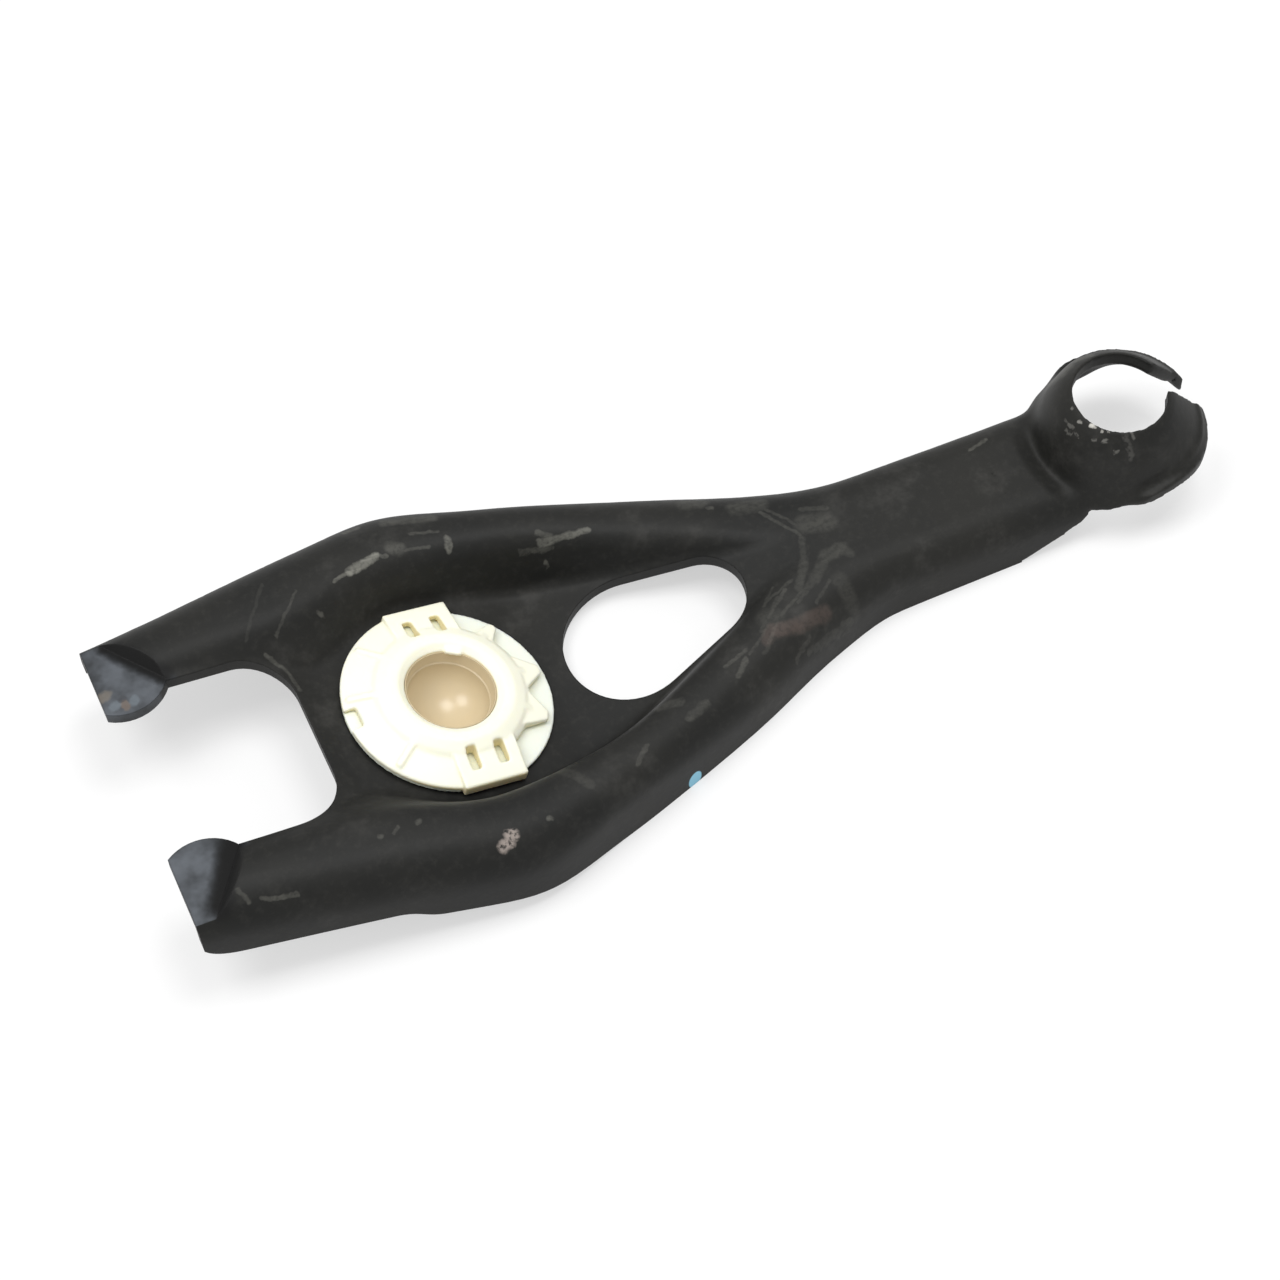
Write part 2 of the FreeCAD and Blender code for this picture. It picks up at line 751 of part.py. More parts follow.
# base flange: lies on the pan, its split neck snaps through the socket hole
base_flange = new_body("base_flange")
neck_end = "- neck_depth"
profile = new_sketch(base_flange, "FlangeProfile", "XZ_Plane")
outline(
    profile,
    [
        ("neck_bore_radius", neck_end),
        ("neck_radius - fit_clearance - bead_height", neck_end),
        ("bead_radius", "- sheet_thickness - fit_clearance - bead_height"),
        ("bead_radius", "- sheet_thickness - fit_clearance"),
        ("neck_radius", "- sheet_thickness - fit_clearance"),
        ("neck_radius", "fit_clearance"),
        ("flange_cone_radius", "fit_clearance"),
        ("flange_radius", "flange_relief"),
        ("flange_radius", "flange_rim_height"),
        ("flange_cone_radius", "flange_top_height"),
        ("neck_bore_radius", "flange_top_height"),
    ],
)
revolve(base_flange, "Flange", profile)
flat = "clip_reach - clip_foot_depth - fit_clearance"
pocket_up(
    base_flange,
    "ClipFlats",
    [
        box_outline("clip_centre - 7.35", "clip_centre + 7.35", flat, flat + " + 10.0"),
        box_outline("clip_centre - 7.35", "clip_centre + 7.35", "- clip_reach - 8.0", "- clip_reach + clip_foot_depth + fit_clearance"),
    ],
)

# cage: collar all round, skirt on one side, gussets on the other, two clips
cage = new_body("socket_cage")
seat_height = "flange_top_height + fit_clearance"
profile = new_sketch(cage, "CollarProfile", "XZ_Plane")
outline(
    profile,
    [
        ("cage_bore_radius", seat_height),
        ("cage_bore_radius", "cage_shelf_height"),
        ("mouth_radius", "cage_shelf_height"),
        ("mouth_radius", "mouth_height"),
        ("collar_top_radius", "collar_height"),
        ("collar_crown_radius", "collar_height"),
        ("collar_shoulder_radius", "collar_shoulder_height"),
        ("collar_radius", "collar_edge_height"),
        ("collar_radius", seat_height),
    ],
)
revolve(cage, "Collar", profile)
profile = new_sketch(cage, "SkirtProfile", "XZ_Plane", size("skirt_centre_deg"))
rim_under = "flange_rim_height + fit_clearance"
outline(
    profile,
    [
        ("skirt_top_radius", seat_height),
        ("skirt_top_radius", "skirt_top_height"),
        ("skirt_radius", "skirt_edge_height"),
        ("skirt_radius", rim_under),
        ("flange_radius", rim_under),
        ("flange_cone_radius", seat_height),
    ],
)
revolve(cage, "Skirt", profile, size("skirt_sweep_deg"))
for name, angle in (("FinA", 41.0), ("FinB", 2.0), ("FinC", -31.0)):
    web(
        cage,
        name,
        [
            ("cage_bore_radius + 2.0", seat_height),
            ("cage_bore_radius + 2.0", "collar_shoulder_height"),
            ("collar_shoulder_radius", "collar_shoulder_height"),
            ("fin_reach - 1.2", "skirt_edge_height"),
            ("fin_reach - 0.8", "fin_nub_height"),
            ("fin_reach", "fin_nub_height"),
            ("fin_reach", rim_under),
            ("flange_radius", rim_under),
            ("flange_cone_radius", seat_height),
        ],
        "fin_thickness",
        angle,
    )
for name, angle in (("RibA", 132.0), ("RibB", 167.0), ("RibC", 218.0)):
    web(
        cage,
        name,
        [
            ("cage_bore_radius + 2.0", seat_height),
            ("cage_bore_radius + 2.0", "collar_shoulder_height"),
            ("collar_shoulder_radius", "collar_shoulder_height"),
            ("skirt_radius - 1.0", "rib_height"),
            ("skirt_radius - 1.0", "flange_rim_height + 0.6"),
            ("flange_cone_radius", seat_height),
        ],
        "rib_thickness",
        angle,
    )
for name, sign in (("ClipFar", ""), ("ClipNear", "- ")):
    sketch = cage.newObject("Sketcher::SketchObject", name + "Sketch")
    sketch.AttachmentSupport = [(plane_of(cage, "YZ_Plane"), "")]
    sketch.MapMode = "FlatFace"
    sketch.AttachmentOffset = Placement(Vector(0, 0, size("clip_centre")), Rotation())
    mirrored = "+ " if sign else "- "
    foot = sign + "clip_reach " + mirrored + "clip_foot_depth"
    outline(
        sketch,
        [
            (sign + "clip_root", seat_height),
            (sign + "clip_root", "clip_height"),
            (sign + "clip_crest", "clip_height"),
            (sign + "clip_reach", "clip_edge_height"),
            (sign + "clip_reach", "flange_relief"),
            (foot, "flange_relief"),
            (foot, seat_height),
        ],
    )
    feature = cage.newObject("PartDesign::Pad", name)
    feature.Profile = sketch
    feature.Midplane = True
    bind(feature, Length="clip_width")
    doc.recompute()

slots = []
for middle in ("clip_centre - clip_slot_half_pitch", "clip_centre + clip_slot_half_pitch"):
    left, right = middle + " - clip_slot_width", middle + " + clip_slot_width"
    slots.append(box_outline(left, right, "clip_slot_start", "clip_slot_end"))
    slots.append(box_outline(left, right, "- clip_slot_end", "- clip_slot_start"))
pocket_up(cage, "ClipSlots", slots)
edge = "- skirt_radius - 2.0"
pocket_up(cage, "RimNotch", [box_outline(edge, "- rim_notch_start", "- 2.0", "rim_notch_width - 2.0")])
web(
    cage,
    "RetainingTab",
    [
        ("tab_start", "tab_height"),
        ("tab_start", "tab_height + 1.0"),
        ("mouth_radius + 1.4", "mouth_height + 0.8"),
        ("mouth_radius + 1.4", "tab_height"),
    ],
    "tab_width",
    size("tab_deg"),
)

# ball cup: a hemispherical shell hung by its flange between base flange and cage
cup_ball = doc.addObject("Part::Sphere", "CupBall")
cup_ball.Angle2 = 0
cup_ball.Placement = Placement(Vector(0, 0, size("ball_centre_height")), Rotation())
bind(cup_ball, Radius="ball_radius + cup_wall")
cup_rim = doc.addObject("Part::Cylinder", "CupRim")
cup_rim.Placement = Placement(Vector(0, 0, number(seat_height)), Rotation())
bind(cup_rim, Radius="cup_flange_radius", Height="ball_centre_height - flange_top_height - fit_clearance")
cup_lip = doc.addObject("Part::Cylinder", "CupLip")
cup_lip.Placement = Placement(Vector(0, 0, number("ball_centre_height - 0.5")), Rotation())
bind(cup_lip, Radius="cup_lip_radius", Height="cup_lip_height - ball_centre_height + 0.5")
cup_outside = doc.addObject("Part::MultiFuse", "CupOutside")
cup_outside.Shapes = [cup_ball, cup_rim, cup_lip]
cup_hollow = doc.addObject("Part::Sphere", "CupHollow")
cup_hollow.Placement = Placement(Vector(0, 0, size("ball_centre_height")), Rotation())
bind(cup_hollow, Radius="ball_radius")
ball_cup = doc.addObject("Part::Cut", "BallCup")
ball_cup.Label = "ball_cup"
ball_cup.Base = cup_outside
ball_cup.Tool = cup_hollow
doc.recompute()

# ---------------------------------------------------------------- place, check, write
reach = [point.x for point in fork.Shape.copy().tessellate(0.05)[0]]
middle_of_fork = Placement(Vector(-(min(reach) + max(reach)) / 2, 0, 0), Rotation())
fork.Placement = middle_of_fork
for piece in (base_flange, cage, ball_cup):
    piece.Placement = middle_of_fork.multiply(socket_frame)
doc.recompute()

for thing in doc.Objects:
    if "Invalid" in thing.State or "Error" in thing.State:
        raise RuntimeError("%s failed: %s" % (thing.Label, thing.State))
os.makedirs("parts", exist_ok=True)
for piece in (fork, base_flange, cage, ball_cup):
    shape = piece.Shape
    if shape.isNull() or not shape.isValid() or len(shape.Solids) != 1:
        raise RuntimeError("%s has a bad shape" % piece.Label)
    shape.exportStep("parts/%s.step" % piece.Label)
    print(piece.Label, round(shape.Volume, 1), shape.BoundBox)
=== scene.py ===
"""Clutch release fork, dressed: satin black pressed steel with bare coined tips,
and a snapped-in ball socket of cream, white and tan plastic.

Lengths are metres in the row frame, with X from the arm tips to the eye and Z up.
Named sizes are in mm, and MM turns them into metres.
"""

import math

import bmesh
import bpy
from mathutils import Matrix, Vector


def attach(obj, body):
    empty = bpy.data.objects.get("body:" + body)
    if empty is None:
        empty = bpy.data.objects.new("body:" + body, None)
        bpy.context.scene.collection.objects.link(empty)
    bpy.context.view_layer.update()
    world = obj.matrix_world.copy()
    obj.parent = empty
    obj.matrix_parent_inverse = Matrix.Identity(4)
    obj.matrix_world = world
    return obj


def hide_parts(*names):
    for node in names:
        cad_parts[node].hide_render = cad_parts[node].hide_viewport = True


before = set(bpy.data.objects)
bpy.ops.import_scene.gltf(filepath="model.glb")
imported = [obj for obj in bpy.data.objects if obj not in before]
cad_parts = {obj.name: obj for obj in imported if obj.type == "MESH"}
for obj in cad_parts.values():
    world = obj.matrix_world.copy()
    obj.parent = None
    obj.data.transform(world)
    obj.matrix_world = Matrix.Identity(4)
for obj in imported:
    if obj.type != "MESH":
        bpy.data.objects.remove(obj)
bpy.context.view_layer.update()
MM = 0.001


# ------------------------------------------------------------------ shader maths
class Wire:
    """A socket whose arithmetic adds Math nodes."""

    def __init__(self, finish, socket):
        self.finish = finish
        self.socket = socket

    def _math(self, operation, *terms):
        return self.finish.node("ShaderNodeMath", {"operation": operation}, terms)

    def __add__(self, other):
        return self._math("ADD", self, other)

    def __radd__(self, other):
        return self._math("ADD", other, self)

    def __sub__(self, other):
        return self._math("SUBTRACT", self, other)

    def __mul__(self, other):
        return self._math("MULTIPLY", self, other)

    def __truediv__(self, other):
        return self._math("DIVIDE", self, other)

    def size(self):
        return self._math("ABSOLUTE", self)

    def biggest(self, other):
        return self._math("MAXIMUM", self, other)

    def clamp(self):
        return self.finish.node("ShaderNodeClamp", {}, [self])

    def ramp(self, low, high, to_low=0.0, to_high=1.0):
        """Smooth step from low to high."""
        settings = {"interpolation_type": "SMOOTHSTEP"}
        inputs = [self, low, high, to_low, to_high]
        return self.finish.node("ShaderNodeMapRange", settings, inputs)


class Finish:
    """One material with its Principled shader; x, y and z are the place in mm."""

    def __init__(self, name, **constants):
        self.material = bpy.data.materials.new(name)
        self.material.use_nodes = True
        self.tree = self.material.node_tree
        self.tree.nodes.clear()
        self.shader = self.tree.nodes.new("ShaderNodeBsdfPrincipled")
        self.output = self.tree.nodes.new("ShaderNodeOutputMaterial")
        self.tree.links.new(self.shader.outputs[0], self.output.inputs[0])
        for socket_name, value in constants.items():
            self.shader.inputs[socket_name.replace("_", " ")].default_value = value
        self.place = self.node("ShaderNodeTexCoord", {}, [], "Object")
        self.x, self.y, self.z = (part / MM for part in self.split(self.place))
        self._facing_up = None
        self._shaken = None

    def node(self, kind, settings, inputs, output=0):
        """Adds a node: settings first, then the values or links of its sockets."""
        made = self.tree.nodes.new(kind)
        for name, value in settings.items():
            setattr(made, name, value)
        named = inputs.items() if isinstance(inputs, dict) else enumerate(inputs)
        for key, value in named:
            if isinstance(value, Wire):
                self.tree.links.new(value.socket, made.inputs[key])
            else:
                made.inputs[key].default_value = value
        return Wire(self, made.outputs[output])

    def split(self, vector):
        """The three parts of a vector."""
        parts = self.tree.nodes.new("ShaderNodeSeparateXYZ")
        self.tree.links.new(vector.socket, parts.inputs[0])
        return [Wire(self, socket) for socket in parts.outputs]

    def feed(self, **sockets):
        for name, value in sockets.items():
            self.tree.links.new(value.socket, self.shader.inputs[name.replace("_", " ")])

    def mix(self, amount, first, second):
        """Colour mix: first where amount is 0, second where it is 1."""
        colours = [
            colour if isinstance(colour, Wire) else (*colour, 1.0) for colour in (first, second)
        ]
        settings = {"data_type": "RGBA", "blend_type": "MIX"}
        inputs = {0: amount, 6: colours[0], 7: colours[1]}
        return self.node("ShaderNodeMix", settings, inputs, 2)

    def noise(self, scale, detail=3.0, rough=0.5, where=None):
        inputs = {"Vector": where or self.place, "Scale": scale, "Detail": detail}
        inputs["Roughness"] = rough
        return self.node("ShaderNodeTexNoise", {}, inputs, "Fac")

    def bump(self, height, strength, distance, edge_round):
        """Fine relief over softly rounded edges; edge_round is that rounding's radius."""
        rounded = self.node("ShaderNodeBevel", {"samples": 4}, {"Radius": edge_round})
        inputs = {"Strength": strength, "Distance": distance, "Height": height}
        inputs["Normal"] = rounded
        self.feed(Normal=self.node("ShaderNodeBump", {}, inputs))

    @property
    def facing_up(self):
        """Upward part of the surface's own direction, before any bump."""
        if self._facing_up is None:
            way = self.node("ShaderNodeTexCoord", {}, [], "Normal")
            self._facing_up = self.split(way)[2]
        return self._facing_up

    @property
    def shaken(self):
        """Plan coordinates shaken by a fraction of a millimetre, for ragged marks."""
        if self._shaken is None:
            inputs = {"Vector": self.place, "Scale": SHAKE_SCALE, "Detail": 2.0}
            noise = self.node("ShaderNodeTexNoise", {}, inputs, "Color")
            east, north = (part - 0.5 for part in self.split(noise)[:2])
            self._shaken = (self.x + east * SHAKE_WIDTH, self.y + north * SHAKE_WIDTH)
        return self._shaken

    def spot(self, centre, reach, turn_deg):
        """1 inside a soft ragged ellipse about centre, 0 outside."""
        c, s = math.cos(math.radians(turn_deg)), math.sin(math.radians(turn_deg))
        x, y = (part - middle for part, middle in zip(self.shaken, centre))
        along, across = (x * c + y * s) / reach[0], (y * c - x * s) / reach[1]
        return (along * along + across * across).ramp(1.35, 0.35)

    def stroke(self, start, end, half_width):
        """1 along a soft ragged line from start to end, 0 off it."""
        length = math.dist(start, end)
        c, s = ((there - here) / length for here, there in zip(start, end))
        x, y = (
            part - (here + there) / 2 for part, here, there in zip(self.shaken, start, end)
        )
        past_end = ((x * c + y * s).size() - length / 2).biggest(0.0)
        across = y * c - x * s
        off = past_end * past_end + across * across
        return off.ramp((STROKE_FADE * half_width) ** 2, 0.0)

    def marks(self, strokes):
        """The strongest of many strokes; each a start, an end, a half width and a strength."""
        together = None
        for start, end, half_width, strength in strokes:
            one = self.stroke(start, end, half_width) * strength
            together = one if together is None else together.biggest(one)
        return together


# ------------------------------------------------------------------ marks, in mm
SHAKE_SCALE = 620.0
SHAKE_WIDTH = 1.1
STROKE_FADE = 1.6

# Each mark is a start, an end, a half width and a strength.
FAR_ARM_SCRATCHES = [
    ((-68.9, 30.4), (-64.8, 31.7), 0.315, 0.167),
    ((-65.0, 31.5), (-58.3, 33.3), 0.765, 0.346),
    ((-58.2, 33.3), (-56.1, 32.7), 0.315, 0.112),
    ((-62.0, 42.5), (-59.0, 42.4), 0.54, 0.0781),
    ((-53.1, 41.4), (-43.0, 38.9), 1.08, 0.067),
    ((-54.4, 34.2), (-53.0, 33.6), 1.26, 0.0837),
    ((-51.8, 32.8), (-46.8, 31.9), 0.36, 0.0781),
    ((-49.2, 36.0), (-43.3, 34.7), 0.36, 0.067),
    ((-42.0, 32.4), (-42.7, 30.2), 0.63, 0.201),
    ((-23.5, 26.8), (-19.9, 24.3), 0.495, 0.112),
    ((-23.8, 25.0), (-13.0, 23.2), 0.54, 0.19),
    ((-28.2, 25.4), (-21.3, 23.4), 0.27, 0.0781),
    ((-77.3, 30.7), (-80.6, 26.8), 0.27, 0.0558),
    ((-80.6, 26.8), (-85.1, 22.7), 0.27, 0.0558),
    ((-83.4, 34.6), (-91.3, 23.6), 0.315, 0.0279),
    ((-88.7, 20.2), (-85.6, 16.5), 0.36, 0.0893),
    ((-85.6, 16.5), (-84.7, 11.3), 0.36, 0.0781),
    ((-74.6, 25.0), (-74.2, 24.8), 0.405, 0.122),
    ((-23.5, 22.7), (-23.2, 22.5), 0.315, 0.167),
]
NECK_SCUFFS = [
    ((9.3, 21.4), (12.6, 20.3), 1.6, 0.0561),
    ((13.6, 17.7), (14.0, 17.5), 0.5, 0.0935),
    ((18.6, 15.2), (24.1, 13.9), 1.6, 0.0561),
    ((23.0, 11.7), (28.3, 2.7), 0.35, 0.0608),
    ((24.4, 12.0), (30.2, 3.2), 0.3, 0.0467),
    ((30.6, 4.7), (34.8, 3.4), 2, 0.0561),
    ((31.3, 8.7), (36.6, 6.6), 0.5, 0.0421),
    ((28.3, 1.8), (26.2, -3.4), 0.6, 0.0467),
    ((26.2, -3.4), (22.1, -9.3), 0.8, 0.0514),
    ((35.0, -4.1), (31.0, -4.5), 1.3, 0.0561),
    ((31.0, -4.5), (25.9, -8.9), 1, 0.0514),
    ((25.9, -8.9), (22.6, -10.7), 0.7, 0.0467),
    ((14.0, -9.3), (21.6, -6.9), 0.3, 0.0421),
    ((19.1, -8.5), (12.8, -13.2), 0.35, 0.0561),
    ((22.6, -10.2), (15.5, -13.8), 0.35, 0.0467),
    ((17.2, -6.4), (13.4, -10.0), 0.3, 0.0374),
    ((12.6, -13.0), (14.0, -13.4), 1.9, 0.0374),
    ((-0.8, -20.2), (5.1, -18.3), 0.35, 0.0654),
    ((0.9, -23.1), (4.1, -20.4), 0.5, 0.0935),
    ((15.0, -22.7), (19.8, -19.5), 0.3, 0.0421),
    ((18.4, -21.7), (31.1, -17.7), 0.35, 0.0421),
    ((8.5, -20.5), (14.5, -14.5), 0.35, 0.0425),
    ((5.5, -19.5), (12.0, -14.8), 0.3, 0.0425),
    ((20.5, -12.5), (26.0, -8.0), 0.35, 0.0425),
    ((24.0, -14.0), (29.0, -10.2), 0.3, 0.0382),
    ((10.0, -15.5), (17.0, -9.5), 0.4, 0.0425),
    ((34.6, -3.2), (36.0, -6.0), 0.9, 0.0425),
    ((31.1, -11.0), (31.7, -15.6), 1.5, 0.0327),
]
BROWN_SCUFFS = [
    ((10.3, -17.7), (12.6, -16.0), 1.2, 0.0893),
    ((12.8, -16.6), (18.0, -17.2), 1.4, 0.112),
    ((19.8, -16.7), (25.0, -16.2), 1.3, 0.0945),
]
NEAR_ARM_SCUFFS = [
    ((-42.6, -29.3), (-38.8, -35.2), 0.9, 0.0425),
    ((-27.8, -34.4), (-24.0, -31.1), 0.4, 0.068),
    ((-12.9, -28.4), (-8.3, -26.6), 0.8, 0.0595),
    ((-17.4, -23.4), (-13.2, -24.2), 0.9, 0.0425),
    ((-49.9, -39.4), (-49.5, -39.4), 0.5, 0.153),
    ((-113.8, -31.4), (-112.8, -34.1), 0.4, 0.0867),
    ((-110.0, -34.4), (-108.5, -35.2), 0.35, 0.0816),
    ((-108.5, -35.2), (-103.2, -36.0), 0.35, 0.0918),
    ((-83.6, -31.2), (-83.2, -31.2), 0.45, 0.0816),
    ((-79.2, -30.6), (-80.6, -31.4), 0.35, 0.0663),
    ((-75.3, -30.9), (-74.9, -30.9), 0.5, 0.0816),
]
ARM_KNOCKS = [
    ((-58.9, -40.0), (-58.2, -40.2), 1.0, 0.50),
    ((-61.2, -41.7), (-59.4, -41.2), 0.9, 0.50),
]
EYE_CHIPS = [
    ((93.1, 1.1), (93.2, 0.8), 0.22, 0.16),
    ((92.9, -2.4), (93.2, -3.0), 0.24, 0.30),
    ((94.5, -4.7), (94.9, -5.2), 0.34, 0.85),
    ((95.2, -5.5), (95.4, -5.7), 0.22, 0.60),
    ((95.8, -7.1), (96.0, -7.3), 0.24, 0.40),
    ((97.0, -8.0), (97.2, -8.1), 0.20, 0.30),
    ((99.9, -9.9), (100.3, -13.4), 0.55, 0.05),
    ((101.3, -10.1), (101.6, -11.4), 0.26, 0.10),
    ((91.2, 0.1), (91.8, -4.7), 0.20, 0.11),
    ((90.6, -1.4), (91.0, -3.4), 0.18, 0.09),
    ((95.5, -8.8), (96.3, -9.3), 0.22, 0.16),
    ((97.0, -11.6), (98.0, -11.9), 0.20, 0.12),
    ((93.8, -7.2), (94.6, -7.9), 0.20, 0.12),
]
# Painted shade: dark bands along the pads' steps, where the step's shade falls.
PAD_STEP_SHADE = [
    ((-118.7, 33.8), (-109.9, 21.9), 1.9, 1.0),
    ((-110.9, -20.3), (-118.2, -32.2), 2.5, 1.0),
]
# The last two seat marks are a pale far rim and shoulder: partly worn edge, partly a painted
# highlight.
SEAT_SCUFFS_AND_RIM_HIGHLIGHT = [
    ((73.0, 8.0), (77.7, 9.1), 0.35, 0.096),
    ((96.6, 12.6), (98.4, 13.8), 1.8, 0.084),
    ((99.8, 14.0), (103.9, 12.6), 1.0, 0.084),
]

# Each spot on the far pad is a centre, two reaches, a turn, a strength and a colour.
PAD_SPOTS = [
    ((-123.0, 22.6), (2.0, 1.3), 20, 0.34, (0.27, 0.225, 0.17)),
    ((-119.6, 18.9), (1.0, 1.5), 10, 0.34, (0.24, 0.165, 0.11)),
    ((-121.6, 19.6), (1.6, 1.2), 30, 0.28, (0.22, 0.26, 0.29)),
    ((-117.6, 19.2), (1.5, 1.0), 60, 0.28, (0.21, 0.25, 0.28)),
    ((-119.7, 20.6), (1.3, 0.8), 0, 0.5, (0.05, 0.05, 0.055)),
]
PAD_HEIGHT = 24.4
BLUE_DAB_X, BLUE_DAB_Z = -14.7, 1.8
BLUE_DAB_REACH = (1.75, 2.6)

# Colours of the fork.
BLACK_LOW, BLACK_HIGH = (0.0115, 0.0118, 0.0112), (0.0185, 0.0182, 0.0162)
FINE_DUST, HANDLED_GREY = (0.040, 0.039, 0.035), (0.16, 0.155, 0.145)
SCUFF_AND_HIGHLIGHT_GREY, SCUFF_BROWN = (0.42, 0.415, 0.36), (0.36, 0.255, 0.215)
KNOCK_PINK, CHIP_PALE = (0.56, 0.48, 0.43), (0.66, 0.64, 0.59)
STEEL_DARK, STEEL_LIGHT = (0.036, 0.039, 0.042), (0.100, 0.109, 0.122)
# STEP_SHADE_BLACK is painted shade for the pads' steps.
STEP_SHADE_BLACK, DAB_BLUE = (0.008, 0.008, 0.008), (0.26, 0.56, 0.72)
RUB_TURN_DEG, RUB_STRETCH = -38, (110, 900, 110)

# ------------------------------------------------------------------ shapes, in mm
# The finer skin of the eye end meets the rest of the fork at SEAM_X.
SEAM_X = 75.0
SEAM_OVERLAP = 0.6
EYE_END_VOXEL = 0.45
# The line, x and z, up which the beam's skirts are trimmed, and the trimming block.
SKIRT_CUT_FROM, SKIRT_CUT_TO = (70.0, -2.4), (95.0, 8.0)
BLOCK_BOTTOM, BLOCK_HALF_WIDTH = -9.0, 30.0
# The half-ball seat about the eye's axis; its brim rises towards the slot.
EYE_X = 104.525
EYE_RADIUS = 10.4
SEAT_HEIGHT = 14.0
SEAT_RADIUS = 17.3
BRIM_HEIGHT = 14.7
BRIM_SLOPE = 0.24
BRIM_LEAN = 0.8
RIM_RADIUS = 19.9
# The straight far side of the seat: start as reach and height, fall and length.
SLOPE_START = (12.35, 26.1)
SLOPE_DEG = 51.0
SLOPE_LENGTH = 14.8
SADDLE_PASSES = 260

# The ball socket leans in the pan.
SOCKET_FRAME = Matrix.Translation((-56.475 * MM, 0, 9 * MM)) @ Matrix.Rotation(
    math.radians(14), 4, "Y"
)
CAGE_VOXEL, FLANGE_VOXEL = 0.27, 0.3
# Each of the cage's fins: direction in degrees, part kept past the collar, half foot.
FINS = [(41.0, 0.35, 2.2), (2.0, 0.25, 4.2), (-31.0, 0.2, 4.4)]
FIN_ROOT, FIN_HALF_WIDTH = 20.5, 1.6
# A gusset under each fin: reach and top at its foot and toe, bottom, and half toe.
GUSSET_FOOT, GUSSET_TOE = (16.6, 4.4), (21.6, 3.1)
GUSSET_BOTTOM, GUSSET_HALF_TOE = 2.15, 1.1
# The cup: bowl and outside as radius and centre height, and the lip between them.
BOWL, CUP_OUTSIDE = (8.9, 1.9, 7.1), (10.1, 3.4)
CUP_LIP = [
    (9.15, 2.0),
    (9.25, 2.25),
    (9.6, 4.9),
    (9.7, 4.98),
    (9.85, 4.9),
    (9.85, 3.45),
    (11.3, 3.45),
    (11.3, 2.9),
]
CUP_ARC_STEPS = 16
CUP_TURN_STEPS = 96


# ------------------------------------------------------------------ finishes
def black_paint():
    """Satin black over pressed steel: dusty, scuffed, rubbed bare on the pads, with painted shade
    along the pad steps and a painted highlight on the seat's far rim.
    """
    f = Finish("black_paint", Specular_IOR_Level=0.22, IOR=1.45)
    broad = f.noise(24.0, 3.0, 0.6)
    fine = f.noise(520.0, 3.0, 0.65)
    grit = f.noise(900.0, 2.0, 0.6)
    upward = f.facing_up.ramp(-0.02, 0.12)
    colour = f.mix(broad.ramp(0.3, 0.75), BLACK_LOW, BLACK_HIGH)
    colour = f.mix(fine.ramp(0.45, 0.8) * 0.30, colour, FINE_DUST)
    handled = f.noise(90.0, 4.0, 0.7).ramp(0.50, 0.78) * broad.ramp(0.35, 0.65)
    colour = f.mix(handled * upward * 0.14, colour, HANDLED_GREY)

    wear_and_rim_highlight = f.marks(FAR_ARM_SCRATCHES + NECK_SCUFFS + NEAR_ARM_SCUFFS + SEAT_SCUFFS_AND_RIM_HIGHLIGHT)
    rub_way = {"Rotation": (0, 0, math.radians(RUB_TURN_DEG)), "Scale": RUB_STRETCH}
    rubbed = f.node(
        "ShaderNodeMapping", {"vector_type": "POINT"}, {"Vector": f.place, **rub_way}
    )
    streaks = f.noise(1.0, 2.0, 0.6, rubbed).ramp(0.35, 0.62, 0.7, 1.05)
    wear_and_rim_highlight = wear_and_rim_highlight * upward * streaks * grit.ramp(0.25, 0.6, 0.55, 1.2)
    # Pale scuffs and scratches, together with a painted highlight on the seat's far rim.
    colour = f.mix(wear_and_rim_highlight.clamp(), colour, SCUFF_AND_HIGHLIGHT_GREY)
    browned = f.marks(BROWN_SCUFFS) * upward * grit.ramp(0.25, 0.6, 0.6, 1.1)
    colour = f.mix(browned.clamp(), colour, SCUFF_BROWN)
    speckled = upward * grit.ramp(0.34, 0.55)
    colour = f.mix((f.marks(ARM_KNOCKS) * speckled).clamp(), colour, KNOCK_PINK)
    colour = f.mix((f.marks(EYE_CHIPS) * speckled).clamp(), colour, CHIP_PALE)

    level = (f.z - PAD_HEIGHT).size().ramp(0.55, 0.25)
    pad_top = level * f.facing_up.ramp(0.90, 0.975) * f.x.ramp(-107.0, -109.0)
    lug_edge = f.x.ramp(-111.5, -112.5) * f.y.size().ramp(24.0, 23.0) * f.z.ramp(20.6, 21.4)
    bare = pad_top.biggest(lug_edge * 0.75)
    steel = f.mix(f.noise(130.0, 3.0, 0.6).ramp(0.3, 0.7), STEEL_DARK, STEEL_LIGHT)
    for centre, reach, turn_deg, strength, tint in PAD_SPOTS:
        steel = f.mix(f.spot(centre, reach, turn_deg) * strength, steel, tint)
    colour = f.mix(bare, colour, steel)
    # Painted shade along the pads' steps.
    colour = f.mix(f.marks(PAD_STEP_SHADE), colour, STEP_SHADE_BLACK)

    along = (f.x - BLUE_DAB_X) / BLUE_DAB_REACH[0]
    up = (f.z - BLUE_DAB_Z) / BLUE_DAB_REACH[1]
    dab = (along * along + up * up).ramp(1.15, 0.8) * f.y.ramp(-32.5, -33.5)
    colour = f.mix(dab, colour, DAB_BLUE)

    rough = 0.52 + (broad - 0.5) * 0.12 + (fine - 0.5) * 0.12 - wear_and_rim_highlight * 0.1
    f.feed(Base_Color=colour, Roughness=rough.clamp(), Metallic=bare * 0.55)
    off_seam = (f.x - SEAM_X).size().ramp(0.9, 1.8)
    f.bump(fine + handled * 0.5, 0.22, 0.2 * MM, off_seam * 0.5 * MM)
    return f.material


